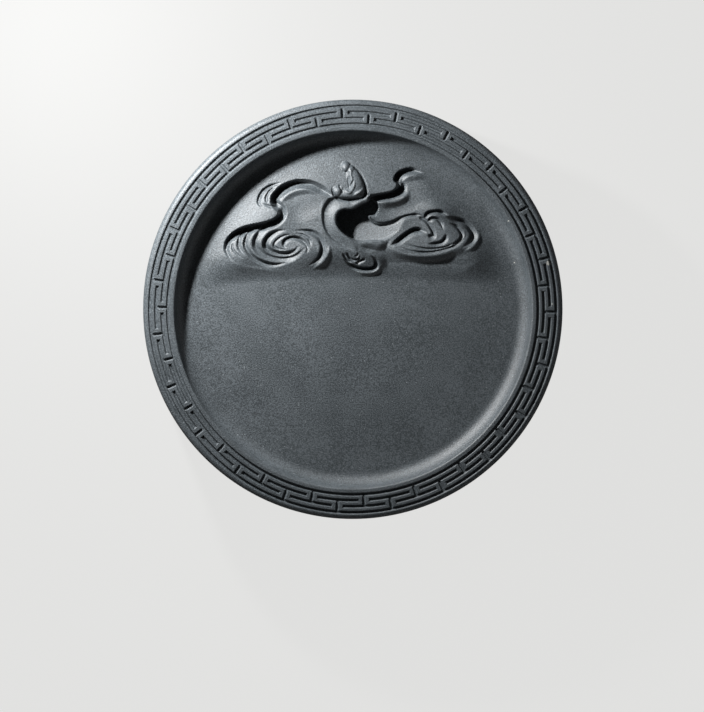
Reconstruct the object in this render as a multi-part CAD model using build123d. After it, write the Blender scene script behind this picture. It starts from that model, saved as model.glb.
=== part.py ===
from build123d import *
import math
import os

# A round carved ink stone, cut from one slab of slate: a slab on a foot ring, a raised rim with an
# interlocking key fret, a sunk grinding bed, and at the far side of the bed a low mound into which a
# bank of clouds, a crescent sun and a small seated figure are carved. Millimetres, +Z up, origin at
# the centre of the underside, +Y toward the carved side.

# Slab
stone_diameter = 89.0
stone_height = 19.0
girth_height = 9.0             # above this the wall stands straight
foot_draw_in = 2.5             # how far the foot stands inside the widest part of the wall
foot_width = 6.0               # flat ring that the stone rests on
foot_edge = 0.4                # broken outer edge of the foot
underside_depth = 1.5          # shallow round recess inside the foot
underside_slope = 1.0          # run of the recess's sloping wall

# Rim and well
rim_width = 6.6
rim_edge_radius = 1.0          # outer top edge
lip_radius = 0.4               # edge where the rim drops into the well
well_depth = 3.8
bed_crown = 0.4                # middle of the grinding bed above its edge
bed_flat_share = 0.8           # flat middle's share of the bed's radius
rim_cap_height = 2.1           # the rim above this level is the fret_rim node

# How many flats each ground curve is made of
wall_flat_count = 3
rim_edge_flat_count = 2
lip_flat_count = 1
cove_flat_count = 3
head_flat_count = 4
bar_flat_count = 3

# Key fret cut in the rim
fret_repeats = 23
fret_phase = 14.9              # degrees, a stem from the outer circle
fret_groove_width = 0.6
fret_depth = 0.35
fret_edge_land = 0.14          # flat between the rounded outer edge and the first groove
fret_lip_land = 0.66           # flat between the last groove and the lip
fret_rings = 4
bar_share = 0.818              # arc bar's share of one repeat

# Mound and carving heights
ground_rise = 0.3              # sunk ground of the carving above the bed's crown
pad_rise = 1.6                 # top of the mound above the sunk ground
mound_ramp = 4.0               # run of the mound's slope down to the bed
relief_height = 1.7            # edges of the clouds above the sunk ground
relief_hollow = 0.5            # depth of the dish in a cloud's top, or rise of the ribbon's crown
crescent_edge = 0.4            # height of the crescent's outer edge
crescent_rise = 1.5            # from there up to the rim of the pool
vein_depth = 0.7
pool_depth = 2.2               # hollow inside the crescent, below the sunk ground
overrun = 1.0                  # how far cutters stand past a face

# Places and half-sizes in the bed, as shares of its radius
mound_shares = (0.0, 0.594, 0.897, 0.442)
pool_shares = (0.030, 0.594, 0.123, 0.080)
crescent_outer_shares = (0.042, 0.597, 0.240)
crescent_inner_shares = (0.033, 0.551, 0.133)
crescent_top_share = 0.698

# Outlines, as shares of the bed's radius: places on the outline by turns with the arcs' middles
pocket_shares = (
    (-0.797, 0.360), (-0.760, 0.465), (-0.625, 0.523), (-0.527, 0.544), (-0.447, 0.612), (-0.471, 0.634),
    (-0.502, 0.649), (-0.520, 0.716), (-0.447, 0.766), (-0.305, 0.799), (-0.146, 0.722), (-0.023, 0.711),
    (0.106, 0.723), (0.186, 0.710), (0.254, 0.760), (0.245, 0.812), (0.309, 0.855), (0.383, 0.867),
    (0.463, 0.846), (0.549, 0.735), (0.543, 0.594), (0.647, 0.572), (0.752, 0.532), (0.813, 0.465),
    (0.788, 0.385), (0.002, -0.224),
)
upper_cloud_shares = (
    (-0.434, 0.649), (-0.367, 0.729), (-0.244, 0.750), (-0.207, 0.738), (-0.186, 0.704), (-0.210, 0.606),
    (-0.201, 0.514), (-0.299, 0.520), (-0.410, 0.538), (-0.419, 0.594),
)
left_whorl_shares = (
    (-0.686, 0.489), (-0.782, 0.403), (-0.723, 0.299), (-0.527, 0.249), (-0.299, 0.237), (-0.158, 0.323),
    (-0.189, 0.434), (-0.293, 0.492), (-0.441, 0.517), (-0.563, 0.517),
)
right_cloud_shares = (
    (0.149, 0.667), (0.254, 0.673), (0.340, 0.729), (0.321, 0.760), (0.291, 0.790), (0.352, 0.833),
    (0.444, 0.833), (0.524, 0.729), (0.500, 0.624), (0.444, 0.594), (0.377, 0.587), (0.272, 0.560),
    (0.186, 0.548), (0.137, 0.600),
)
cloud_ribbon_shares = (
    (0.069, 0.523), (0.174, 0.508), (0.278, 0.535), (0.364, 0.560), (0.444, 0.541), (0.490, 0.501),
    (0.481, 0.452), (0.466, 0.445), (0.453, 0.461), (0.438, 0.492), (0.395, 0.501), (0.321, 0.492),
    (0.248, 0.449), (0.162, 0.412), (0.057, 0.403), (0.051, 0.465),
)
right_ripple_shares = (
    (0.297, 0.385), (0.364, 0.422), (0.444, 0.428), (0.506, 0.446), (0.524, 0.508), (0.555, 0.548),
    (0.610, 0.548), (0.745, 0.508), (0.770, 0.440), (0.696, 0.369), (0.543, 0.342), (0.389, 0.342),
)
lower_curl_shares = (
    (-0.060, 0.348), (-0.035, 0.268), (0.063, 0.219), (0.155, 0.219), (0.180, 0.280), (0.131, 0.314),
    (0.063, 0.317), (-0.004, 0.326),
)

# Veins, as shares of the bed's radius: width, eyes, then centre and half-sizes of each last turn
vein_width_share = 0.0145
left_eye_shares = (-0.373, 0.403)
right_eye_shares = (0.590, 0.446)
curl_eye_shares = (0.080, 0.275)
left_turn_shares = (-0.465, 0.379, 0.290, 0.108)
right_turn_shares = (0.560, 0.434, 0.170, 0.072)
curl_turn_shares = (0.065, 0.274, 0.095, 0.040)
left_turn_count = 2.5
right_turn_count = 1.5
curl_turn_count = 1.0
vein_bend_share = 0.72         # tightest bend of a vein, of its width
vein_arc_count = 6             # arcs in each turn

# Figure, as shares of the bed's radius: half-widths with places along the spine
figure_shares = (-0.029, 0.722)
hip_shares = (0.040, 0.0)
chest_shares = (0.041, 0.080)
neck_shares = (0.014, 0.135)
lap_length_share = 0.098
lap_radius_share = 0.031
lap_profile_shares = ((-1.0, 0.0), (-0.8, 1.0), (0.8, 1.0), (1.0, 0.0))
head_shares = (-0.047, 0.876, 0.031)

stone_radius = stone_diameter / 2
well_radius = stone_radius - rim_width
cove_radius = well_depth - lip_radius
bed_radius = well_radius - cove_radius
bed_level = stone_height - well_depth
rim_seat_level = stone_height - rim_cap_height
foot_radius = stone_radius - foot_draw_in
underside_radius = foot_radius - foot_width
ground_level = bed_level + bed_crown + ground_rise
pad_level = ground_level + pad_rise
vein_width = vein_width_share * bed_radius


def in_bed(shares):
    """A place in the bed, worked out from its shares of the bed's radius."""
    return shares[0] * bed_radius, shares[1] * bed_radius


def half_sizes(shares):
    return shares[2] * bed_radius, shares[3] * bed_radius


def arc_points(centre, radius, first, last, flat_count):
    """Points on an arc, the ends included, with angles in degrees from the +r direction."""
    points = []
    for step in range(flat_count + 1):
        angle = math.radians(first + (last - first) * step / flat_count)
        points.append((centre[0] + radius * math.cos(angle), centre[1] + radius * math.sin(angle)))
    return points


def slab_section():
    """Right half of the section through the slab's axis, as points in radius and height."""
    wall_radius = (foot_draw_in**2 + girth_height**2) / (2 * foot_draw_in)
    wall_start = -math.degrees(math.asin((girth_height - foot_edge) / wall_radius))
    wall_centre = (stone_radius - wall_radius, girth_height)
    wall = arc_points(wall_centre, wall_radius, wall_start, 0, wall_flat_count)
    edge_centre = (stone_radius - rim_edge_radius, stone_height - rim_edge_radius)
    lip_centre = (well_radius + lip_radius, stone_height - lip_radius)
    cove_centre = (bed_radius, bed_level + cove_radius)
    return [
        (0, underside_depth),
        (underside_radius - underside_slope, underside_depth),
        (underside_radius, 0),
        (wall[0][0] - foot_edge, 0),
        *wall,
        *arc_points(edge_centre, rim_edge_radius, 0, 90, rim_edge_flat_count),
        *arc_points(lip_centre, lip_radius, 90, 180, lip_flat_count),
        *arc_points(cove_centre, cove_radius, 0, -90, cove_flat_count)[1:],
        (bed_flat_share * bed_radius, bed_level + bed_crown),
        (0, bed_level + bed_crown),
    ]


def arc_outline(shares, level):
    """Closed outline of arcs, each through a place, its middle and the next place."""
    points = [in_bed(place) for place in shares]
    ends = points[2:] + points[:1]
    arcs = [ThreePointArc(*three) for three in zip(points[::2], points[1::2], ends[::2])]
    return Pos(0, 0, level) * make_face(arcs)


def oval(shares, level, margin=0.0):
    x, y = in_bed(shares)
    half_length, half_width = half_sizes(shares)
    return Pos(x, y, level) * Ellipse(half_length + margin, half_width + margin)


def mound():
    """Low elliptical mound with a ramp down to the bed, and the carving's sunk ground cut into it."""
    buried_level = bed_level - overrun
    slope = mound_ramp / (pad_level - bed_level)
    buried_oval = oval(mound_shares, buried_level, slope * (pad_level - buried_level))
    pocket = extrude(arc_outline(pocket_shares, ground_level), pad_rise + overrun)
    return loft([buried_oval, oval(mound_shares, pad_level)]) - pocket


def make_stone_body(slab):
    lower = split(slab, Plane.XY.offset(rim_seat_level), keep=Keep.BOTTOM)
    upper = split(slab, Plane.XY.offset(rim_seat_level), keep=Keep.TOP)
    pool = extrude(oval(pool_shares, ground_level - pool_depth), pool_depth + overrun)
    return lower + (mound() - upper) - pool


def fret_ring_radius(ring):
    """Centre line of one of the fret's circles, counted from the outermost."""
    outermost = stone_radius - rim_edge_radius - fret_edge_land - fret_groove_width / 2
    innermost = well_radius + lip_radius + fret_lip_land + fret_groove_width / 2
    return outermost + (innermost - outermost) * ring / (fret_rings - 1)


def arc_bar(radius, half_angle):
    """Part of a circular groove, centred on the +X axis."""
    outer = arc_points((0, 0), radius + fret_groove_width / 2, -half_angle, half_angle, bar_flat_count)
    inner = arc_points((0, 0), radius - fret_groove_width / 2, half_angle, -half_angle, bar_flat_count)
    return make_face(Polyline(*outer, *inner, close=True))


def fret_comb(circle_ring, bar_ring, first_angle):
    """One full circle with a stem to each of its arc bars."""
    step = 360 / fret_repeats
    circle_radius = fret_ring_radius(circle_ring)
    bar_radius = fret_ring_radius(bar_ring)
    stem_length = abs(circle_radius - bar_radius)
    stem = Pos((circle_radius + bar_radius) / 2, 0) * Rectangle(stem_length, fret_groove_width)
    tee = stem + arc_bar(bar_radius, step * bar_share / 2)
    half_groove = fret_groove_width / 2
    comb = Circle(circle_radius + half_groove) - Circle(circle_radius - half_groove)
    for count in range(fret_repeats):
        comb += Rot(Z=first_angle + count * step) * tee
    return comb


def make_fret_rim(slab):
    rim = split(slab, Plane.XY.offset(rim_seat_level), keep=Keep.TOP)
    half_step = 180 / fret_repeats
    outer_comb = fret_comb(0, fret_rings - 2, fret_phase)
    inner_comb = fret_comb(fret_rings - 1, 1, fret_phase + half_step)
    floor_level = stone_height - fret_depth
    for comb in (outer_comb, inner_comb):
        rim -= extrude(Pos(0, 0, floor_level) * comb, fret_depth + overrun)
    return rim


def cloud(shares):
    """A flat-topped carving with a sharp edge."""
    return extrude(arc_outline(shares, ground_level), relief_height)


def roller(half_span):
    """Cylinder across the stone whose curve rises by the relief's hollow over the half-span."""
    radius = (half_span**2 + relief_hollow**2) / (2 * relief_hollow)
    return Cylinder(radius, 4 * bed_radius, rotation=(90, 0, 0)), radius


def dished(shares):
    """A cloud whose top is hollowed from its near edge to its far one."""
    body = cloud(shares)
    box = body.bounding_box()
    drum, radius = roller(box.size.Y / 2)
    hollow_level = ground_level + relief_height - relief_hollow
    return body - Pos(0, box.center().Y, hollow_level + radius) * Rot(Z=90) * drum


def crowned(shares):
    """A cloud whose top falls away to its two ends."""
    body = cloud(shares)
    box = body.bounding_box()
    drum, radius = roller(box.size.X / 2)
    return body & Pos(box.center().X, 0, ground_level + relief_height - radius) * drum


def spiral_vein(eye_shares, last_turn_shares, turns):
    """Cutter for a groove that winds out of an eye, its centre drifting to that of its last turn."""
    eye = Vector(*in_bed(eye_shares))
    centre = Vector(*in_bed(last_turn_shares))
    half_length, half_width = half_sizes(last_turn_shares)
    count = math.ceil(turns * vein_arc_count)
    first_reach = vein_bend_share * vein_width * half_length / half_width**2

    def line_point(progress):
        angle = 2 * math.pi * turns * progress
        reach = first_reach + (1 - first_reach) * progress
        return eye + (centre - eye) * progress + Vector(
            half_length * reach * math.cos(angle), half_width * reach * math.sin(angle)
        )

    def side_point(step, side):
        progress = step / count
        nearby = 0.5 / count
        along = line_point(progress + nearby) - line_point(progress - nearby)
        return line_point(progress) + along.normalized().rotate(Axis.Z, 90) * (side * vein_width / 2)

    edges = []
    for side, steps in ((1, range(count)), (-1, range(count, 0, -1))):
        for step in steps:
            edges.append(
                ThreePointArc(
                    side_point(step, side), side_point(step + side / 2, side), side_point(step + side, side)
                )
            )
    edges.append(Line(side_point(count, 1), side_point(count, -1)))
    edges.append(Line(side_point(0, -1), side_point(0, 1)))
    floor_level = ground_level + relief_height - vein_depth
    return extrude(Pos(0, 0, floor_level) * make_face(edges), vein_depth + overrun)


def whorl(outline_shares, eye_shares, last_turn_shares, turns):
    """A cloud with a vein wound into its top."""
    return cloud(outline_shares) - spiral_vein(eye_shares, last_turn_shares, turns)


def make_sun_crescent():
    """Crescent between two circles, cut level at its far horn. Its face rises toward the pool."""
    outer_x, outer_y, outer_radius = (share * bed_radius for share in crescent_outer_shares)
    inner_x, inner_y, inner_radius = (share * bed_radius for share in crescent_inner_shares)
    top = crescent_edge + crescent_rise
    section = Polyline(
        (0, 0),
        (outer_radius, 0),
        (outer_radius, crescent_edge),
        (inner_radius, top),
        (0, top),
        close=True,
    )
    disc = Pos(outer_x, outer_y, ground_level) * revolve(Plane.XZ * make_face(section), Axis.Z)
    hollow = Pos(inner_x, inner_y, ground_level) * Cylinder(inner_radius, 2 * (top + overrun))
    reach = outer_radius + overrun
    near_y = outer_y - reach
    depth = crescent_top_share * bed_radius - near_y
    block = Box(reach, depth, 2 * (top + overrun))
    keep = Pos(outer_x - reach / 2, near_y + depth / 2, ground_level) * block
    return (disc - hollow) & keep


def make_seated_figure():
    """A tiny robed figure in half relief: torso, folded legs and a plain round head."""
    x, y = in_bed(figure_shares)
    hip, chest, neck = in_bed(hip_shares), in_bed(chest_shares), in_bed(neck_shares)
    spine = Axis((0, 0, 0), (0, -1, 0))
    robe = Polyline((0, 0), hip, chest, neck, (0, neck[1]), close=True)
    torso = revolve(make_face(robe), spine, 180)
    lap_length = lap_length_share * bed_radius
    lap_radius = lap_radius_share * bed_radius
    lap_points = [(along * lap_length, radius * lap_radius) for along, radius in lap_profile_shares]
    lap = revolve(make_face(Polyline(*lap_points, close=True)), Axis.X, 180)
    head_x, head_y, head_radius = (share * bed_radius for share in head_shares)
    head_points = arc_points((0, 0), head_radius, -90, 90, head_flat_count)
    head = revolve(make_face(Polyline(*head_points, close=True)), spine, 180)
    seated = Pos(x, y) * torso + Pos(x, y + lap_radius) * lap + Pos(head_x, head_y) * head
    return Pos(0, 0, pad_level) * seated


slab = revolve(Plane.XZ * make_face(Polyline(*slab_section(), close=True)), Axis.Z)
nodes = {
    "stone_body": make_stone_body(slab),
    "fret_rim": make_fret_rim(slab),
    "upper_cloud": dished(upper_cloud_shares),
    "left_whorl": whorl(left_whorl_shares, left_eye_shares, left_turn_shares, left_turn_count),
    "right_cloud": dished(right_cloud_shares),
    "right_ripple": whorl(right_ripple_shares, right_eye_shares, right_turn_shares, right_turn_count),
    "lower_curl": whorl(lower_curl_shares, curl_eye_shares, curl_turn_shares, curl_turn_count),
    "cloud_ribbon": crowned(cloud_ribbon_shares),
    "sun_crescent": make_sun_crescent(),
    "seated_figure": make_seated_figure(),
}

os.makedirs("parts", exist_ok=True)
for name, shape in nodes.items():
    export_step(shape, f"parts/{name}.step")
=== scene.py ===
import bpy
import math
import numpy as np
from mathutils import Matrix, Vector, geometry


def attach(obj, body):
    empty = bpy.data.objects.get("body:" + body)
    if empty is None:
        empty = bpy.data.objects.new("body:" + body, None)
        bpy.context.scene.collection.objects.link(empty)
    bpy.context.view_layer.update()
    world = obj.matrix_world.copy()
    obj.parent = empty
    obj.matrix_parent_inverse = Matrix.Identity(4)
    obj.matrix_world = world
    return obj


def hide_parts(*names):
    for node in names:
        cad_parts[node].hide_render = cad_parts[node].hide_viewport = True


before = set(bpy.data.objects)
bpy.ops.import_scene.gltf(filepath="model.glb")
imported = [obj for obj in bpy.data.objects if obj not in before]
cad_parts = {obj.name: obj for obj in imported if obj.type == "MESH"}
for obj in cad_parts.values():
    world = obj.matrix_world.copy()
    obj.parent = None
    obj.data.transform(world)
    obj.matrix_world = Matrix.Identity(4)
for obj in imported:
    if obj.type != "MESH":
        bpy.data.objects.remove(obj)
print("frame loaded")
mm = 0.001
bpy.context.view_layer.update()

# the stone's own sizes, in millimetres
stone = {
    "radius": 44.5,
    "height": 19.0,
    "girth": 9.0,           # the wall stands straight above this
    "footRadius": 42.0,
    "footEdge": 0.4,
    "recessRadius": 36.0,
    "recessDepth": 1.5,
    "wellRadius": 37.9,
    "lip": 0.4,
    "shelf": (38.5, 44.1, 17.2),        # inner and outer radius and height of what the rim stands on
    "shelfEdge": 16.9,
    "wallRows": (14.0, 11.5),           # extra rows of points up the straight wall
    "footInside": 39.0,
    "segments": 360,
    "mergeGap": 0.002,
}


def pickNothing():
    if bpy.context.object and bpy.context.object.mode != "OBJECT":
        bpy.ops.object.mode_set(mode="OBJECT")
    bpy.ops.object.select_all(action="DESELECT")


def activate(obj):
    pickNothing()
    obj.select_set(True)
    bpy.context.view_layer.objects.active = obj


def nameIt(name):
    obj = bpy.context.object
    obj.name = name
    obj.data.name = name
    return obj


def arcPoints(centre, radius, first, last, steps):
    points = []
    for step in range(steps + 1):
        angle = math.radians(first + (last - first) * step / steps)
        points.append((centre[0] + radius * math.cos(angle), centre[1] + radius * math.sin(angle)))
    return points


# camera: straight above, leaning a little to the upper left
cameraSettings = {
    "distance": 1.2,
    "lean": 2.1,            # degrees
    "sensor": 36,
    "pixelSize": 0.2116,    # millimetres of stone across one pixel
    "longSide": 712,        # pixels, as are the next two
    "rise": 46.1,
    "slide": 1.3,
}
pickNothing()
lean = math.radians(cameraSettings["lean"])
reach = cameraSettings["distance"] * math.tan(lean)
bpy.ops.object.camera_add(
    location=(-reach, reach, cameraSettings["distance"] + stone["height"] * mm),
    rotation=(-lean, -lean, 0),
)
camera = nameIt("camera")
camera.data.sensor_width = cameraSettings["sensor"]
shownWidth = cameraSettings["longSide"] * cameraSettings["pixelSize"] * mm
camera.data.lens = cameraSettings["sensor"] * cameraSettings["distance"] / shownWidth
camera.data.shift_x = -cameraSettings["slide"] / cameraSettings["longSide"]
camera.data.shift_y = -cameraSettings["rise"] / cameraSettings["longSide"]
bpy.context.scene.camera = camera

# light: a small lamp close by at the upper left
lightSettings = {"reach": 0.112, "height": 0.071, "size": 0.010, "power": 0.60}
side = lightSettings["reach"] / math.sqrt(2)
bpy.ops.object.light_add(type="AREA", location=(-side, side, lightSettings["height"]))
keyLight = nameIt("keyLight")
keyLight.data.size = lightSettings["size"]
keyLight.data.energy = lightSettings["power"]
keyLight.visible_camera = False
lightPlace = Vector((-side, side, lightSettings["height"]))
keyLight.rotation_euler = lightPlace.to_track_quat("Z", "Y").to_euler()
bpy.context.scene.view_settings.view_transform = "Standard"
print("camera and light set")


class Wire:
    # a socket that takes part in arithmetic, each step a Math node
    def __init__(self, desk, socket):
        self.desk = desk
        self.socket = socket

    def step(self, operation, first, second):
        node = self.desk.tree.nodes.new("ShaderNodeMath")
        node.operation = operation
        for slot, value in zip(node.inputs, (first, second)):
            self.desk.plug(value, slot)
        return Wire(self.desk, node.outputs[0])

    def __add__(self, other):
        return self.step("ADD", self, other)

    __radd__ = __add__

    def __sub__(self, other):
        return self.step("SUBTRACT", self, other)

    def __rsub__(self, other):
        return self.step("SUBTRACT", other, self)

    def __mul__(self, other):
        return self.step("MULTIPLY", self, other)

    __rmul__ = __mul__

    def between(self, low, high):
        # 0 up to low, 1 from high on
        node = self.desk.add("ShaderNodeMapRange", {"interpolation_type": "SMOOTHSTEP"},
                             {"Value": self, "From Min": low, "From Max": high})
        return node["Result"]


class Desk:
    # a node tree with one way to add a node
    def __init__(self, tree):
        self.tree = tree

    def plug(self, value, slot):
        if isinstance(value, Wire):
            self.tree.links.new(value.socket, slot)
        else:
            slot.default_value = value

    def add(self, kind, settings=None, sockets=None):
        node = self.tree.nodes.new(kind)
        for name, value in (settings or {}).items():
            setattr(node, name, value)
        for name, value in (sockets or {}).items():
            self.plug(value, node.inputs[name])
        return {out.name: Wire(self, out) for out in node.outputs if out.enabled}

    def blend(self, factor, first, second):
        node = self.tree.nodes.new("ShaderNodeMixShader")
        for slot, value in zip(node.inputs, (factor, first, second)):
            self.plug(value, slot)
        return Wire(self, node.outputs[0])

    def mix(self, factor, first, second):
        node = self.tree.nodes.new("ShaderNodeMix")
        node.data_type = "RGBA"
        for slot, value in zip((node.inputs[0], node.inputs[6], node.inputs[7]), (factor, first, second)):
            self.plug(value, slot)
        return Wire(self, node.outputs[2])


def freshMaterial(name):
    material = bpy.data.materials.new(name)
    material.use_nodes = True
    material.node_tree.nodes.clear()
    return material, Desk(material.node_tree)


def finishMaterial(desk, shader):
    node = desk.tree.nodes.new("ShaderNodeOutputMaterial")
    desk.plug(shader, node.inputs["Surface"])


# room: dim on the stone, pale behind it
roomSettings = {"dim": 0.04, "pale": 0.90, "paleBelow": 0.25, "dimAbove": 0.65}
world = bpy.data.worlds.new("room")
bpy.context.scene.world = world
world.use_nodes = True
world.node_tree.nodes.clear()
room = Desk(world.node_tree)
rays = room.add("ShaderNodeLightPath")
seen = rays["Is Camera Ray"] + rays["Is Glossy Ray"] + rays["Is Transmission Ray"]
seen = seen.between(0.0, 1.0)
skyward = room.add("ShaderNodeSeparateXYZ", {}, {"Vector": room.add("ShaderNodeTexCoord")["Generated"]})["Z"]
dimming = skyward.between(roomSettings["paleBelow"], roomSettings["dimAbove"])
backdrop = roomSettings["pale"] - (roomSettings["pale"] - roomSettings["dim"]) * dimming
strength = seen * backdrop + (1 - seen) * roomSettings["dim"]
background = room.add("ShaderNodeBackground", {}, {"Color": (1, 1, 1, 1), "Strength": strength})
worldOut = world.node_tree.nodes.new("ShaderNodeOutputWorld")
room.plug(background["Background"], worldOut.inputs["Surface"])

# floor: the lamp stands close, so for the camera the paper glows evenly and shows only a share of
# the lamp's light and of the stone's shadow
floorSettings = {
    "size": 6.0,
    "colour": (0.17, 0.17, 0.168, 1),
    "roughness": 0.9,
    "glow": (0.86, 0.86, 0.85, 1),
    "glowShare": 0.86,
}
pickNothing()
bpy.ops.mesh.primitive_plane_add(size=floorSettings["size"], location=(0, 0, 0))
floor = nameIt("floor")
floorMaterial, desk = freshMaterial("floorPaper")
floorShader = desk.add("ShaderNodeBsdfPrincipled", {}, {
    "Base Color": floorSettings["colour"], "Roughness": floorSettings["roughness"]})
paperGlow = desk.add("ShaderNodeEmission", {}, {"Color": floorSettings["glow"]})["Emission"]
seenShare = desk.add("ShaderNodeLightPath")["Is Camera Ray"] * floorSettings["glowShare"]
finishMaterial(desk, desk.blend(seenShare, floorShader["BSDF"], paperGlow))
floor.data.materials.append(floorMaterial)
print("room and floor made")

# slate: cool dark grey, honed, with fine mineral specks
slateSettings = {
    "dark": (0.021, 0.026, 0.029, 1),
    "light": (0.066, 0.077, 0.085, 1),
    "speckColour": (0.21, 0.23, 0.24, 1),
    "roughness": 0.54,
    "roughnessSwing": 0.12,
    "grain": 0.26,          # millimetres, as are the next three
    "mottle": 6.0,
    "speck": 0.5,
    "grainHeight": 0.070,
    "grainDetail": 2.0,
    "mottleDetail": 4.0,
    "grainPull": 3.0,       # how far each pattern pulls between the dark and the light
    "mottlePull": 0.6,
    "speckEdge": (0.10, 0.30),
    "speckPick": (0.88, 0.97),          # only the cells above this have a speck
    "speckShare": 0.6,
    # pale spots: x, y and radius in millimetres
    "paleSpots": [(41.40, 9.87, 0.50), (42.25, 1.18, 0.16), (34.40, 9.87, 0.14), (32.92, 18.78, 0.14)],
    "paleColour": (0.30, 0.30, 0.28, 1),
    "paleEdge": (0.5, 1.3),
    "paleAbove": (14, 15),
}
slate, desk = freshMaterial("slate")
place = desk.add("ShaderNodeTexCoord")["Object"]
inMm = desk.add("ShaderNodeMapping", {}, {"Vector": place, "Scale": (1 / mm, 1 / mm, 1 / mm)})["Vector"]
grain = desk.add("ShaderNodeTexNoise", {}, {
    "Vector": inMm, "Scale": 1 / slateSettings["grain"], "Detail": slateSettings["grainDetail"]})["Fac"]
mottle = desk.add("ShaderNodeTexNoise", {}, {
    "Vector": inMm, "Scale": 1 / slateSettings["mottle"], "Detail": slateSettings["mottleDetail"]})["Fac"]
cells = desk.add("ShaderNodeTexVoronoi", {}, {"Vector": inMm, "Scale": 1 / slateSettings["speck"]})
cellPick = desk.add("ShaderNodeSeparateColor", {}, {"Color": cells["Color"]})["Red"]
picked = cellPick.between(*slateSettings["speckPick"])
specks = (1 - cells["Distance"].between(*slateSettings["speckEdge"])) * picked
tone = 0.5 + (grain - 0.5) * slateSettings["grainPull"] + (mottle - 0.5) * slateSettings["mottlePull"]
tone = tone.between(0.0, 1.0)
stoneColour = desk.mix(tone, slateSettings["dark"], slateSettings["light"])
stoneColour = desk.mix(specks * slateSettings["speckShare"], stoneColour, slateSettings["speckColour"])
parts = desk.add("ShaderNodeSeparateXYZ", {}, {"Vector": inMm})
for spotX, spotY, radius in slateSettings["paleSpots"]:
    offX, offY = parts["X"] - spotX, parts["Y"] - spotY
    apart = offX * offX + offY * offY + (grain - 0.5) * radius * radius
    spotInner, spotOuter = [radius ** 2 * share for share in slateSettings["paleEdge"]]
    inSpot = (1 - apart.between(spotInner, spotOuter)) * parts["Z"].between(*slateSettings["paleAbove"])
    stoneColour = desk.mix(inSpot, stoneColour, slateSettings["paleColour"])
gritty = desk.add("ShaderNodeBump", {}, {
    "Strength": 1.0, "Distance": slateSettings["grainHeight"] * mm, "Height": grain})["Normal"]
roughness = slateSettings["roughness"] + (mottle - 0.5) * slateSettings["roughnessSwing"]
slateShader = desk.add("ShaderNodeBsdfPrincipled", {}, {
    "Base Color": stoneColour, "Roughness": roughness, "Normal": gritty})
finishMaterial(desk, slateShader["BSDF"])
print("slate made")

# the carving is drawn on the photograph's pixels, x to the right and y down, so places, widths and
# reaches here are pixels, and heights and depths are millimetres
carving = {
    "pixel": 0.2120,                # millimetres, as are the next eight
    "bedEdge": 34.5,
    "coveRadius": 3.4,
    "coveReach": 3.5,
    "coveSoft": 0.25,
    "bed": 15.2,
    "bedCrown": 0.4,
    "padRun": 9.5,
    "moundRise": 2.15,
    "centreX": 351.71,
    "centreY": 308.58,
    "rampTop": 246,
    "rampFoot": 279,
    "rampBend": 5,
    "rampHalf": 112,
    "pocketWall": 3.5,
    "leftDepth": 0.80,
    "leftMiddle": (266, 216),
    "leftReach": 62,
    "leftHold": 0.45,
    "rightDepth": 0.95,
    "rightReach": 80,
    "rightHold": 0.35,
    "rightFade": (388, 423),
    "rightSlant": 0.6,
    "rightLevel": 175,
    "shoulderFade": (208, 224),
    "shoulderLoss": 0.5,
    "crescentWall": 3.0,
    "crescentRise": 0.30,
    "crescentFall": 0.85,
    "crescentRun": 13,
    "underWall": 9,
    "underDepth": 0.8,
    "underFadeX": (446, 482),
    "underFadeY": (256, 283),
    "underFloor": 15.5,
    "underRun": 1.2,
    "crestSides": (1, 1.3),         # how far a stroke runs to its upper left and to its lower right
    "trenchSides": (0.7, 1.15),
    "grooveSides": (0.70, 1.45),
    "ridgeSides": (1, 1),
    "grooveDepth": 1.2,
    "poolStart": (345, 215),
    "poolHeading": (0.80, 0.60),
    "poolFloor": (14.0, 0.13, 0.011),
    "ribbonWall": 2.0,
}

# the section of one carved stroke
strokeShape = {
    "diagonal": 1.4142,
    "tipWidth": 0.35,               # the share of its width that a stroke keeps at its tips
    "tipReach": 0.02,
    "shadePower": 1.3,
    "lightPower": 1.7,
    "lightFill": 0.7,
}

# too small to show: they keep a division or a step from being by nothing
least, tiny, hair = 1e-9, 1e-6, 0.001


def easeStep(low, high, value):
    t = np.clip((value - low) / (high - low), 0, 1)
    return t * t * (3 - 2 * t)


def curveThrough(points, closed=False, steps=4):
    p = np.array(points, float)
    if closed:
        p = np.vstack([p[-1:], p, p[:2]])
    else:
        p = np.vstack([2 * p[:1] - p[1:2], p, 2 * p[-1:] - p[-2:-1]])
    out = []
    for k in range(1, len(p) - 2):
        for t in np.linspace(0, 1, steps, endpoint=False):
            out.append(0.5 * ((2 * p[k]) + (p[k + 1] - p[k - 1]) * t
                              + (2 * p[k - 1] - 5 * p[k] + 4 * p[k + 1] - p[k + 2]) * t ** 2
                              + (3 * p[k] - p[k - 1] - 3 * p[k + 1] + p[k + 2]) * t ** 3))
    if not closed:
        out.append(p[-2])
    return np.array(out)


def nearTo(line, x, y, margin):
    low, high = line[:, :2].min(0) - margin, line[:, :2].max(0) + margin
    return (x > low[0]) & (x < high[0]) & (y > low[1]) & (y < high[1])


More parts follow.
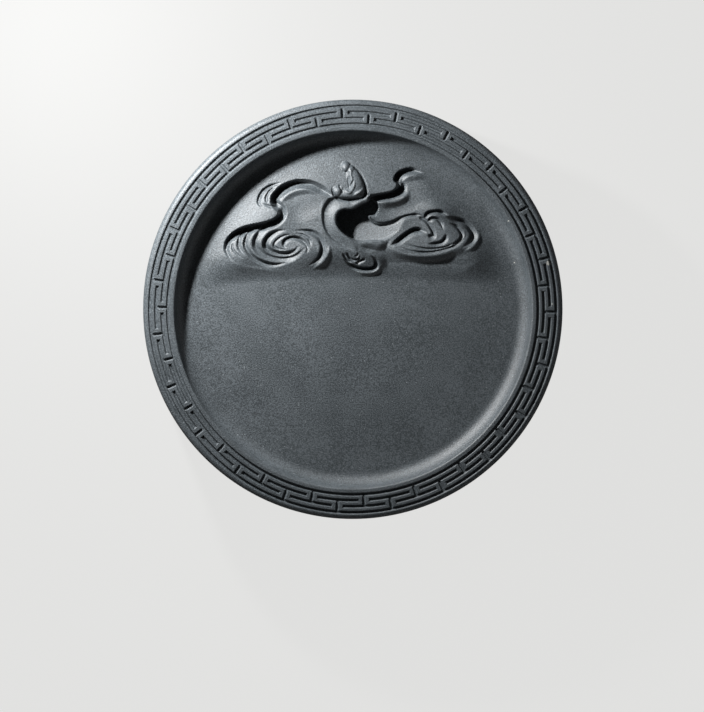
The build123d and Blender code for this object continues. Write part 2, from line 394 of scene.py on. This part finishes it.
def nearestOn(line, x, y, wantFoot=False):
    # the distance to a line, and how far along it the nearest place is, from 0 to 1
    best = np.full(x.shape, np.inf)
    along = np.zeros(x.shape)
    footX, footY = np.zeros(x.shape), np.zeros(x.shape)
    lengths = np.hypot(*(line[1:] - line[:-1]).T)
    passed, total = 0.0, lengths.sum()
    for start, end, length in zip(line[:-1], line[1:], lengths):
        step = end - start
        t = np.clip(((x - start[0]) * step[0] + (y - start[1]) * step[1]) / (length ** 2 + least), 0, 1)
        placeX, placeY = start[0] + t * step[0], start[1] + t * step[1]
        distance = np.hypot(x - placeX, y - placeY)
        closer = distance < best
        best = np.where(closer, distance, best)
        along = np.where(closer, (passed + t * length) / total, along)
        if wantFoot:
            footX, footY = np.where(closer, placeX, footX), np.where(closer, placeY, footY)
        passed += length
    return (best, along, footX, footY) if wantFoot else (best, along)


def insideOf(line, x, y):
    hit = np.zeros(x.shape, bool)
    for start, end in zip(line, np.roll(line, -1, axis=0)):
        crosses = (start[1] > y) != (end[1] > y)
        if start[1] != end[1]:
            hit ^= crosses & (x < (end[0] - start[0]) * (y - start[1]) / (end[1] - start[1]) + start[0])
    return hit


def sunkArea(x, y, outline, wall):
    # 0 outside the outline, 1 inside it past the wall
    line = curveThrough(outline, True)
    share = np.zeros(x.shape)
    near = nearTo(line, x, y, 1)
    distance = nearestOn(np.vstack([line, line[:1]]), x[near], y[near])[0]
    share[near] = np.where(insideOf(line, x[near], y[near]), easeStep(0, wall, distance), 0)
    return share


def besideLine(x, y, edge, reach, hold):
    # 1 along the edge and for a share of the reach, then fading to 0
    return 1 - easeStep(hold, 1, nearestOn(curveThrough(edge), x, y)[0] / reach)


def strokes(x, y, rows, sides):
    # each row: half width, height, taper at the start and at the end, points
    # where two strokes meet, the higher one counts
    steep, gentle = sides
    shape = strokeShape
    tip, tipWidth = shape["tipReach"], shape["tipWidth"]
    field = np.zeros(x.shape)
    for width, rise, startTaper, endTaper, points in rows:
        line = curveThrough(points)
        near = nearTo(line, x, y, width * gentle + 0.5)
        if not near.any():
            continue
        px, py = x[near], y[near]
        distance, along, footX, footY = nearestOn(line, px, py, True)
        # 0 on the upper left side, 1 on the lower right
        lit = ((px - footX) + (py - footY)) / (shape["diagonal"] * distance + tiny)
        lit = np.clip(lit, -1, 1) * 0.5 + 0.5
        ends = easeStep(-tip, startTaper + hair, along) * easeStep(-tip, endTaper + hair, 1 - along)
        reach = width * (tipWidth + (1 - tipWidth) * ends) * (steep + (gentle - steep) * lit)
        share = np.clip(distance / reach, 0, 1)
        shadeSide = (1 - share ** 2) ** shape["shadePower"] * (1 - lit)
        lightSide = (1 - share) ** shape["lightPower"] * (1 + shape["lightFill"] * share) * lit
        field[near] = np.maximum(field[near], rise * ends * (shadeSide + lightSide))
    return field


def swelling(x, y, row):
    # row: height, middle x and y, half length and half width, turn in degrees, power of its section
    rise, middleX, middleY, halfLength, halfWidth, turn, power = row
    t = math.radians(turn)
    u = (x - middleX) * math.cos(t) + (y - middleY) * math.sin(t)
    v = -(x - middleX) * math.sin(t) + (y - middleY) * math.cos(t)
    return rise * np.clip(1 - (u / halfLength) ** 2 - (v / halfWidth) ** 2, 0, 1) ** power


leftEdge = [(330, 193), (327, 189.6), (320.5, 185.8), (312, 182), (302.6, 179.7), (294, 179),
            (286.5, 180.2), (279.9, 183), (274.3, 187.7), (269.5, 193.4), (268.6, 198.1), (271, 202.5),
            (276, 205.5), (279, 207.5), (278.5, 212), (275.5, 216), (268, 218.8), (257, 221.3),
            (246, 223.5), (236, 227.2), (228, 233.3), (223.5, 240), (222, 247), (224, 254), (229, 259.5),
            (235, 263.5)]
leftPocket = leftEdge + [(246, 267), (262, 269.5), (280, 271), (300, 271.5), (314, 268), (326, 259),
                         (334, 250), (331, 238), (324, 226), (321, 212), (324, 200)]
rightEdge = [(368, 197), (372.4, 194.3), (378, 192.5), (388, 190.3), (393, 187), (394.8, 183), (392.5, 178),
             (394, 173), (398.8, 169.8), (406, 168.3), (415, 169.6), (424, 173.3)]
rightPocket = rightEdge + [(438, 183), (450, 197), (462, 212), (474, 221), (480, 230), (479, 239),
                           (470, 247), (452, 253), (430, 257), (408, 256), (392, 250), (380, 242),
                           (368, 230), (366, 212)]
trenches = [
    (5.7, 1.60, 0.08, 0.28, [(331, 195), (319, 188), (311, 184), (302.6, 182.2), (294.5, 182.3),
                             (287.5, 184.6), (281.5, 188), (276, 193), (273, 199), (275.5, 204),
                             (279.6, 208), (280, 213), (277, 218), (271, 221.8), (262, 224.6), (250, 227),
                             (240, 230), (231.5, 235), (226.4, 241), (225, 248), (227, 254), (231, 259),
                             (237, 263.5)]),
    (5.4, 1.65, 0.05, 0.25, [(368, 197.5), (380, 195.6), (390, 193.6), (398, 190), (402.4, 185.4),
                             (401, 180.5)]),
    (4.2, 1.45, 0.15, 0.35, [(396.5, 183), (395, 178), (397.8, 173.2), (404, 170.2), (412, 169.4),
                             (422, 172)]),
]
grooves = [
    # left whorl
    (1.5, 0.22, 0.3, 0.4, [(233.5, 238), (231, 246), (235, 252.5), (245, 259.4)]),
    (2.8, 0.50, 0.0, 0.5, [(244, 229), (238.6, 236.7), (237.4, 243.8), (239.8, 250), (247.8, 258)]),
    (3.1, 0.60, 0.0, 0.4, [(249.5, 229), (244.5, 237.7), (244.0, 244.8), (248.0, 252.3), (255.8, 259),
                           (264.8, 262.4), (273.3, 263.4), (281.8, 262.3), (294, 258.5)]),
    (4.2, 0.68, 0.0, 0.3, [(262, 227), (255.2, 236), (253.8, 242.9), (257, 249), (264.3, 253.8),
                           (273.3, 256.7), (281.8, 257.5), (291.2, 256), (298.8, 251.4), (304.5, 245.5)]),
    (4.0, 0.80, 0.3, 0.2, [(286, 228.5), (274.5, 231), (267, 235.5), (263.6, 242), (265.3, 247),
                           (271.5, 251.2), (280, 252.8), (287.5, 252.3), (293.5, 249.5), (297, 245)]),
    (1.8, 0.28, 0.3, 0.3, [(295, 233.6), (283.7, 234.4), (276.6, 238.2), (272.8, 243), (274, 246.4),
                           (279.9, 248.4), (288, 249)]),
    (2.8, 0.75, 0.2, 0.4, [(285, 247.5), (282.4, 244), (283, 239.6), (287.9, 236.8), (294, 236.6),
                           (299.9, 238.9), (304.5, 243), (306.3, 248), (304.6, 254)]),
    (3.4, 0.68, 0.35, 0.35, [(291, 229.9), (304.3, 229.9), (312.9, 232.5), (318.8, 238.2), (321, 245.3),
                             (319.6, 252.6), (315.6, 258.7), (306, 266)]),
    (2.2, 0.38, 0.4, 0.3, [(293, 231.8), (302.5, 234.2), (308, 238.9), (309.6, 246)]),
    # curl at the upper left
    (2.6, 0.50, 0.3, 0.3, [(280.5, 181.5), (268.6, 185.4), (261.6, 190.3), (257.7, 197.2), (257.8, 202.8),
                           (262, 207.6)]),
    (2.0, 0.28, 0.3, 0.2, [(261.4, 202.4), (268.6, 205.3), (274.3, 205.8), (279, 206.5)]),
    (1.8, 0.35, 0.2, 0.2, [(266.5, 203.5), (264.8, 197), (268, 190.5), (274.5, 185.5)]),
    # ribbon and right whorl
    (2.4, 0.48, 0.1, 0.2, [(369, 216.5), (372.4, 220.6), (377.5, 222.8), (384.6, 222.4), (392.2, 220.6),
                           (397.8, 217.7), (406.3, 214.9), (414.8, 214), (425, 215.4)]),
    (2.6, 0.55, 0.2, 0.1, [(416, 214.6), (424.2, 219.2), (429, 225), (431.8, 231.1), (431.6, 235.6),
                           (426.4, 234)]),
    (4.0, 1.05, 0.25, 0.25, [(389.5, 245), (397.6, 239), (404.6, 233.8), (410.8, 230), (417, 229),
                             (426, 231.6)]),
    (2.6, 0.60, 0.2, 0.4, [(426.5, 224), (429.3, 217.7), (435.2, 217.8), (439.9, 222.2), (442.4, 230)]),
    (3.0, 0.80, 0.2, 0.3, [(423.4, 219.5), (425.7, 212.8), (431.8, 210.8), (439.3, 211), (448, 215.2)]),
    (4.0, 0.75, 0.3, 0.3, [(443, 214.6), (454, 218.6), (462.4, 221.4), (468.9, 226.8), (471.6, 233.2),
                           (469.4, 240), (461, 247.4)]),
    (2.6, 0.50, 0.3, 0.2, [(447, 222), (454.5, 225), (459, 229.6), (460.6, 235), (457.4, 240.4),
                           (450, 244.4)]),
    (3.0, 0.60, 0.2, 0.4, [(445.4, 233), (442.6, 239.1), (437, 242.3), (426, 243.2)]),
    (1.9, 0.36, 0.4, 0.3, [(401, 242), (413, 245.6), (424, 247.8), (435, 247.5), (446, 245.4), (456, 240)]),
    (2.0, 0.40, 0.4, 0.3, [(396, 245.6), (408, 249.4), (420, 251.4), (432, 250.8), (444, 248.2),
                           (455, 244.1), (464, 237), (465.4, 230)]),
    # lower curl
    (1.8, 0.36, 0.2, 0.3, [(341.2, 251.5), (344, 256.8), (347.2, 260), (352, 262)]),
    (1.8, 0.40, 0.1, 0.2, [(345, 251.5), (348, 256.4), (351.1, 258.6), (354.7, 258.8), (357.9, 257.1),
                           (358.6, 253.5)]),
    (1.5, 0.25, 0.2, 0.3, [(353.2, 255.2), (356.1, 254.2), (356.9, 251)]),
    (2.2, 0.50, 0.2, 0.2, [(354.2, 262.6), (359, 260), (364.4, 257.6)]),
    (2.7, 0.85, 0.3, 0.25, [(342, 258.6), (349.6, 264.2), (355, 266.7), (361.1, 267.7), (366.1, 268),
                            (370.8, 267.4), (373.6, 265.6), (374.6, 262), (373.8, 258.5), (369.5, 254.5)]),
    # robe
    (1.9, 0.45, 0.3, 0.1, [(345, 160.8), (351.5, 165), (357.6, 171), (360.7, 177.2), (363.2, 183.3),
                           (364.4, 188.1), (364, 192.9), (360.9, 196.7), (354.6, 197.9), (347, 199),
                           (339.3, 198.4), (334.4, 195.7), (331.6, 191.5), (330.7, 186)]),
    (1.4, 0.30, 0.2, 0.2, [(347, 173.5), (347.1, 179.9), (348.2, 185.1), (349.6, 184), (351.8, 178.5)]),
    (1.4, 0.34, 0.2, 0.2, [(337.4, 183.8), (341.5, 192)]),
]
ridges = [                          # folds of the robe
    (2.0, 0.32, 0.3, 0.3, [(349.1, 167.8), (349.9, 171.3), (349.2, 173.8), (350.4, 177.4), (350.9, 183)]),
    (2.2, 0.32, 0.3, 0.3, [(353.4, 179), (352.5, 185.1), (350.3, 189.7), (347.3, 191.6), (342.4, 187.6)]),
    (2.2, 0.30, 0.3, 0.3, [(352, 194.6), (357.7, 191.8), (360.7, 189.4), (362, 185.6)]),
]
crests = [                          # lit edges beside the trenches and the whorls
    (4.0, 0.50, 0.3, 0.4, [(279.5, 202.5), (285.4, 195.4), (294, 190.6), (305, 189), (316.5, 193.2)]),
    (4.8, 0.60, 0.3, 0.3, [(373, 201.2), (382, 202.4), (391, 201.8), (399.8, 199), (406, 194),
                           (408.6, 188)]),
    (4.2, 0.52, 0.3, 0.5, [(402.2, 182), (404.8, 178), (410.2, 175.6), (417.5, 175.4), (426.6, 177.8)]),
    (3.0, 0.38, 0.3, 0.3, [(311, 268.5), (320.5, 262.5), (327, 253), (328, 243)]),
    (3.0, 0.42, 0.3, 0.3, [(353, 270), (361, 272.3), (370, 272.4), (377, 269.5), (379.6, 264)]),
    (2.6, 0.24, 0.3, 0.3, [(396, 250.5), (408, 254.2), (422, 256), (438, 254.8), (453, 250.6)]),
    (3.0, 0.28, 0.3, 0.3, [(463, 251), (472, 246.5), (478, 238), (478, 230)]),
]
crescent = [(369.5, 192), (360, 194.5), (350, 195.6), (340, 195.2), (331, 195.4), (325, 199), (320.5, 207),
            (319.5, 214), (320.5, 223), (323.5, 231), (328.5, 238), (336, 243.5), (345, 248.5),
            (352.5, 251), (357.5, 250), (356, 244), (350, 238), (343, 232.5), (338, 227), (335.5, 220.5),
            (336, 214), (339.5, 210), (345, 208.5), (351, 208), (357, 205), (362, 202), (367, 200)]
crescentCrest = [(368, 200), (362, 202), (357, 205), (351, 208), (345, 208.5), (339.5, 210), (336, 214),
                 (335.5, 220.5), (338, 227), (343, 232.5), (350, 238), (356, 244)]
ribbonRun = [(341, 208.2), (336, 212.5), (334.3, 219), (335.8, 225.5), (340, 231), (346, 236), (353, 240.2),
             (360, 241.6), (371.4, 240.8), (379.9, 240.6), (388.4, 236.8), (397.8, 231.1), (405.4, 225.5),
             (412.9, 222.6), (420.5, 223.1), (424, 220), (418, 215.6), (406.3, 215.1), (397.8, 217.9),
             (392.2, 220.8), (384.6, 222.6), (377, 222.8), (372, 220.5), (368.5, 216), (371, 215.4),
             (375, 214.4), (378.3, 206), (375.5, 200), (371, 197), (366, 200.5), (360, 203), (351, 207.8)]
underArea = [(356, 243), (360, 242.6), (366, 241.6), (372.6, 242), (378, 242.6), (384, 239.6), (389, 238),
             (391, 243), (396, 248.6), (405.4, 252.4), (416.7, 254), (430, 253.6), (443, 251), (454, 247.4),
             (470, 246), (480, 262), (440, 285), (390, 285), (372, 275), (379, 264), (372, 256), (362, 252)]
bowls = [(-0.42, 300, 202, 27, 20, -20, 1.5), (-0.55, 394, 207, 24, 11, -8, 1.5)]
shoulder = (0.55, 437, 211, 24, 13, 10, 1.5)
figure = [
    (0.85, 354.3, 181.5, 7.6, 17.5, -17, 0.8),      # back
    (0.90, 344.6, 165.6, 4.7, 5.3, 0, 0.7),         # head
    (0.72, 349.6, 168.6, 4.6, 5.0, 0, 0.8),         # neck
    (0.80, 336.6, 190.2, 5.4, 5.8, 0, 0.8),         # knee
    (0.62, 348.0, 193.2, 14.5, 5.2, 0, 0.8),        # lap
]


def padHeight(x, y):
    # the bed and the mound, which falls to the rim all round and more gently toward the bed
    radius = np.hypot(x - carving["centreX"], y - carving["centreY"]) * carving["pixel"]
    bed = carving["bed"] + carving["bedCrown"] * (1 - np.clip(radius / carving["bedEdge"], 0, 1) ** 2) ** 2
    toRim = easeStep(0, carving["padRun"], carving["bedEdge"] - radius)
    bend = carving["rampBend"] * ((x - carving["centreX"]) / carving["rampHalf"]) ** 2
    toBed = 1 - easeStep(carving["rampTop"], carving["rampFoot"], y - bend)
    return bed + carving["moundRise"] * toRim * toBed, radius


def carvedHeight(x, y):
    # the height of the well's surface in millimetres
    height, radius = padHeight(x, y)
    # pockets beside the clouds
    middleX, middleY = carving["leftMiddle"]
    away = np.hypot((x - middleX) / carving["leftReach"], (y - middleY) / carving["leftReach"])
    fall = 1 - easeStep(carving["leftHold"], 1.0, away)
    height = height - carving["leftDepth"] * sunkArea(x, y, leftPocket, carving["pocketWall"]) * fall
    beside = besideLine(x, y, rightEdge, carving["rightReach"], carving["rightHold"])
    fade = 1 - easeStep(*carving["rightFade"], x - (y - carving["rightLevel"]) * carving["rightSlant"])
    rightShare = sunkArea(x, y, rightPocket, carving["pocketWall"])
    height = height - carving["rightDepth"] * rightShare * beside * fade
    for row in bowls:
        height = height + swelling(x, y, row)
    lost = easeStep(*carving["shoulderFade"], y) * carving["shoulderLoss"]
    height = height + swelling(x, y, shoulder) * (1 - lost)
    # crescent, highest at the pool's edge
    share = sunkArea(x, y, crescent, carving["crescentWall"])
    crestDistance = nearestOn(curveThrough(crescentCrest), x, y)[0]
    drop = carving["crescentFall"] * easeStep(0, carving["crescentRun"], crestDistance)
    height = height - share * (drop - carving["crescentRise"])
    # the ground under the ribbon and the right whorl
    fade = (1 - easeStep(*carving["underFadeY"], y)) * (1 - easeStep(*carving["underFadeX"], x))
    share = sunkArea(x, y, underArea, carving["underWall"]) * fade
    spare = np.clip((height - carving["underFloor"]) / carving["underRun"], 0, 1)
    height = height - carving["underDepth"] * share * spare
    height = height + strokes(x, y, crests, carving["crestSides"])
    height = height - strokes(x, y, trenches, carving["trenchSides"])
    # pool, deep under the crescent and rising to the ribbon
    startX, startY = carving["poolStart"]
    headX, headY = carving["poolHeading"]
    along = ((x - startX) * headX + (y - startY) * headY) * carving["pixel"]
    floorLow, floorSlope, floorBend = carving["poolFloor"]
    poolFloor = floorLow + floorSlope * along + floorBend * along ** 2
    share = sunkArea(x, y, ribbonRun, carving["ribbonWall"])
    height = height * (1 - share) + np.minimum(height, poolFloor) * share
    height = height - carving["grooveDepth"] * strokes(x, y, grooves, carving["grooveSides"])
    # seated figure
    body = np.maximum.reduce([swelling(x, y, row) for row in figure])
    height = height + body + strokes(x, y, ridges, carving["ridgeSides"])
    # cove
    cove = carving["bed"] + carving["coveRadius"] - np.sqrt(np.clip(
        carving["coveRadius"] ** 2 - np.clip(radius - carving["bedEdge"], 0, None) ** 2, 0, None))
    soft = carving["coveSoft"]
    share = np.clip(0.5 + 0.5 * (cove - height) / soft, 0, 1)
    near = easeStep(-carving["coveReach"], 0, radius - carving["bedEdge"])
    blended = height * (1 - share) + cove * share + soft * share * (1 - share)
    return height + near * (np.maximum(blended, height) - height)


# the well: one skin of points, close together where the carving turns and far apart elsewhere
wellSettings = {
    "steps": (1.0, 0.5, 0.25, 0.125),       # millimetres between points
    "turns": (0.0, 0.005, 0.03, 0.22),      # how sharply the skin turns where each step starts
    "probe": 0.25,
    "coveRings": 16,
    "edgeGap": 0.25,
    "decimals": 6,
    "joinGap": 1e-7,
    "smoothTurn": 60,                       # degrees
}


def pixelPlace(x, y):
    return carving["centreX"] + x / carving["pixel"], carving["centreY"] - y / carving["pixel"]


def skinTurn(x, y):
    probe = wellSettings["probe"]
    places = [(0, 0), (probe, 0), (-probe, 0), (0, probe), (0, -probe)]
    middle, *around = [carvedHeight(*pixelPlace(x + dx, y + dy)) for dx, dy in places]
    turnX = np.abs(around[0] + around[1] - 2 * middle)
    turnY = np.abs(around[2] + around[3] - 2 * middle)
    return (turnX + turnY) / probe ** 2


def latticePoints():
    chosen = []
    reach = carving["bedEdge"] - wellSettings["edgeGap"]
    x, y = None, None
    for step, turn in zip(wellSettings["steps"], wellSettings["turns"]):
        count = int(reach / step) + 1
        line = np.arange(-count, count + 1) * step
        gridX, gridY = np.meshgrid(line, line)
        gridX, gridY = gridX.ravel(), gridY.ravel()
        inner = np.hypot(gridX, gridY) < reach
        gridX, gridY = gridX[inner], gridY[inner]
        if x is not None:
            # only where the coarser points beside it turn enough
            size = int(2 * reach / lastStep) + 3
            wanted = np.zeros((size, size), bool)
            column = np.round((x + reach) / lastStep).astype(int)
            row = np.round((y + reach) / lastStep).astype(int)
            wanted[row[busy > turn], column[busy > turn]] = True
            # and one point further out
            wanted[1:-1, 1:-1] |= (wanted[:-2, 1:-1] | wanted[2:, 1:-1]
                                   | wanted[1:-1, :-2] | wanted[1:-1, 2:])
            column = np.clip(np.round((gridX + reach) / lastStep).astype(int), 0, size - 1)
            row = np.clip(np.round((gridY + reach) / lastStep).astype(int), 0, size - 1)
            keep = wanted[row, column]
            gridX, gridY = gridX[keep], gridY[keep]
        x, y, lastStep = gridX, gridY, step
        busy = skinTurn(x, y)
        chosen.append(np.stack([x, y], 1))
    return np.unique(np.round(np.vstack(chosen), wellSettings["decimals"]), axis=0)


def ringPoints(radius):
    turn = np.arange(stone["segments"]) * 2 * math.pi / stone["segments"]
    return np.stack([radius * np.cos(turn), radius * np.sin(turn)], 1)


coveRings = wellSettings["coveRings"]
rings = [ringPoints(carving["bedEdge"] + carving["coveRadius"] * math.sin(math.pi / 2 * k / coveRings))
         for k in range(coveRings + 1)]
flat = np.vstack([latticePoints()] + rings)
height = carvedHeight(*pixelPlace(flat[:, 0], flat[:, 1]))
height[-stone["segments"]:] = carving["bed"] + carving["coveRadius"]
triangles = geometry.delaunay_2d_cdt([Vector(p) for p in flat.tolist()], [], [], 0, wellSettings["joinGap"])
mesh = bpy.data.meshes.new("carvedStone")
order = [source[0] for source in triangles[3]]
mesh.from_pydata([(flat[k, 0] * mm, flat[k, 1] * mm, height[k] * mm) for k in order], [], triangles[2])
carvedStone = bpy.data.objects.new("carvedStone", mesh)
bpy.context.scene.collection.objects.link(carvedStone)
print("well skin made:", len(mesh.polygons), "triangles")

# the blank: a half section spun round, from the rim's seat down the wall and under to the middle
blankSettings = {
    "wallSteps": 12,
    "footSteps": 4,
    "footTurn": (-25, -90),         # degrees
    "recessRound": [(0.25, 0), (0, 0.1), (-0.9, 1.35)],     # out from the recess's radius, and up
    "recessInside": 1.2,
    "recessRow": 20,
}
draw = stone["radius"] - stone["footRadius"]
wallRadius = (stone["girth"] ** 2 + draw ** 2) / (2 * draw)
wallTurn = math.degrees(math.asin((stone["girth"] - stone["footEdge"]) / wallRadius))
shelfInner, shelfOuter, shelfHeight = stone["shelf"]
section = [(stone["wellRadius"], carving["bed"] + carving["coveRadius"]),
           (shelfInner, shelfHeight), (shelfOuter, shelfHeight), (stone["radius"], stone["shelfEdge"])]
section += [(stone["radius"], row) for row in stone["wallRows"]]
wallCentre = (stone["radius"] - wallRadius, stone["girth"])
section += arcPoints(wallCentre, wallRadius, 0, -wallTurn, blankSettings["wallSteps"])
footCentre = (section[-1][0] - stone["footEdge"], stone["footEdge"])
section += arcPoints(footCentre, stone["footEdge"], *blankSettings["footTurn"], blankSettings["footSteps"])
section += [(stone["footInside"], 0)]
section += [(stone["recessRadius"] + out, up) for out, up in blankSettings["recessRound"]]
recessStart = stone["recessRadius"] - blankSettings["recessInside"]
section += [(radius, stone["recessDepth"]) for radius in (recessStart, blankSettings["recessRow"], 0)]
mesh = bpy.data.meshes.new("blank")
sectionLines = [(k, k + 1) for k in range(len(section) - 1)]
mesh.from_pydata([(radius * mm, 0, up * mm) for radius, up in section], sectionLines, [])
blank = bpy.data.objects.new("blank", mesh)
bpy.context.scene.collection.objects.link(blank)
activate(blank)
bpy.ops.object.mode_set(mode="EDIT")
bpy.ops.mesh.select_all(action="SELECT")
bpy.ops.mesh.spin(steps=stone["segments"], angle=2 * math.pi, center=(0, 0, 0), axis=(0, 0, 1))
bpy.ops.object.mode_set(mode="OBJECT")
activate(carvedStone)
blank.select_set(True)
bpy.ops.object.join()
bpy.ops.object.mode_set(mode="EDIT")
bpy.ops.mesh.select_all(action="SELECT")
bpy.ops.mesh.remove_doubles(threshold=stone["mergeGap"] * mm)
bpy.ops.mesh.normals_make_consistent(inside=False)
bpy.ops.object.mode_set(mode="OBJECT")
bpy.ops.object.shade_smooth_by_angle(angle=math.radians(wellSettings["smoothTurn"]))
carvedStone.data.materials.append(slate)
print("carved stone made")

# the rim: one repeat of the fret cut into it, then copied round
rimSettings = {
    "repeats": 23,
    "phase": 14.9,                                  # degrees
    "rings": (43.06, 41.78, 40.49, 39.26),          # millimetres, the lines' middles
    "lineWidth": 0.86,
    "stemWidth": 0.88,
    "barTurn": 12.8,                                # degrees
    "barParts": 6,
    "slant": 0.27,
    "depth": 0.38,
    "topEdge": 1.0,
    "topEdgeSteps": 8,
    "lipSteps": 4,
    "under": (38.6, 44.1, 17.25),                   # inner and outer radius and height of its underside
    "smoothTurn": 30,                               # degrees
}
period = 360 / rimSettings["repeats"]
stemTurn = math.degrees(rimSettings["stemWidth"] / rimSettings["rings"][1])
halfBar = rimSettings["barTurn"] / 2
halfTurns = [stemTurn / 2, period / 2 - halfBar, halfBar, period / 2 - stemTurn / 2, period / 2]
between = np.linspace(halfTurns[1], halfTurns[2], rimSettings["barParts"])[1:-1].tolist()
halfTurns = sorted(halfTurns + between)
columns = [-t for t in reversed(halfTurns)] + halfTurns
halfLine = rimSettings["lineWidth"] / 2
top = stone["height"]
lip = stone["lip"]
edge = rimSettings["topEdge"]
underInner, underOuter, underHeight = rimSettings["under"]
rows = [(underInner, underHeight)]
rows += arcPoints((stone["wellRadius"] + lip, top - lip), lip, 180, 90, rimSettings["lipSteps"])
for middle in reversed(rimSettings["rings"]):
    rows += [(middle - halfLine, top), (middle + halfLine, top)]
rows += arcPoints((stone["radius"] - edge, top - edge), edge, 90, 0, rimSettings["topEdgeSteps"])
rows += [(stone["radius"], stone["shelfEdge"]), (underOuter, underHeight), (underInner, underHeight)]
pickNothing()
bpy.ops.mesh.primitive_grid_add(x_subdivisions=len(columns) - 1, y_subdivisions=len(rows) - 1, size=1)
fretRim = nameIt("fretRim")
for vertex in fretRim.data.vertices:
    column = round((vertex.co.x + 0.5) * (len(columns) - 1))
    row = round((vertex.co.y + 0.5) * (len(rows) - 1))
    turn = math.radians(rimSettings["phase"] + columns[column])
    radius, height = rows[row]
    vertex.co = (radius * math.cos(turn) * mm, radius * math.sin(turn) * mm, height * mm)
outerRing, outerBar, innerBar, innerRing = rimSettings["rings"]


def inFret(radius, turn):
    # turn is in degrees from the middle of the repeat
    near = [abs(radius - ring) < halfLine for ring in rimSettings["rings"]]
    onStem = abs(turn) < stemTurn / 2
    onOtherStem = abs(turn) > period / 2 - stemTurn / 2
    return (near[0] or near[3] or (near[2] and abs(turn) < halfBar)
            or (near[1] and abs(turn) > period / 2 - halfBar)
            or (onStem and innerBar - halfLine < radius < outerRing)
            or (onOtherStem and innerRing < radius < outerBar + halfLine))


activate(fretRim)
bpy.ops.object.mode_set(mode="EDIT")
bpy.ops.mesh.select_mode(type="FACE")
bpy.ops.mesh.select_all(action="DESELECT")
bpy.ops.object.mode_set(mode="OBJECT")
for polygon in fretRim.data.polygons:
    centre = polygon.center / mm
    turn = math.degrees(math.atan2(centre.y, centre.x)) - rimSettings["phase"]
    level = centre.z > top - hair
    polygon.select = level and inFret(math.hypot(centre.x, centre.y), turn)
bpy.ops.object.mode_set(mode="EDIT")
bpy.ops.mesh.inset(thickness=rimSettings["slant"] * mm, depth=rimSettings["depth"] * mm, use_boundary=False)
bpy.ops.mesh.select_all(action="SELECT")
copies = rimSettings["repeats"] - 1
bpy.ops.mesh.spin(steps=copies, dupli=True, center=(0, 0, 0), axis=(0, 0, 1),
                  angle=math.radians(period * copies))
bpy.ops.mesh.select_all(action="SELECT")
bpy.ops.mesh.remove_doubles(threshold=stone["mergeGap"] * mm)
bpy.ops.mesh.normals_make_consistent(inside=False)
bpy.ops.object.mode_set(mode="OBJECT")
bpy.ops.object.shade_smooth_by_angle(angle=math.radians(rimSettings["smoothTurn"]))
fretRim.data.materials.append(slate)
print("fret rim made:", len(fretRim.data.polygons), "faces")

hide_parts("stone_body", "sun_crescent", "seated_figure", "upper_cloud", "left_whorl",
            "right_cloud", "cloud_ribbon", "right_ripple", "lower_curl")
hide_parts("fret_rim")
for piece in (carvedStone, fretRim):
    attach(piece, "root")
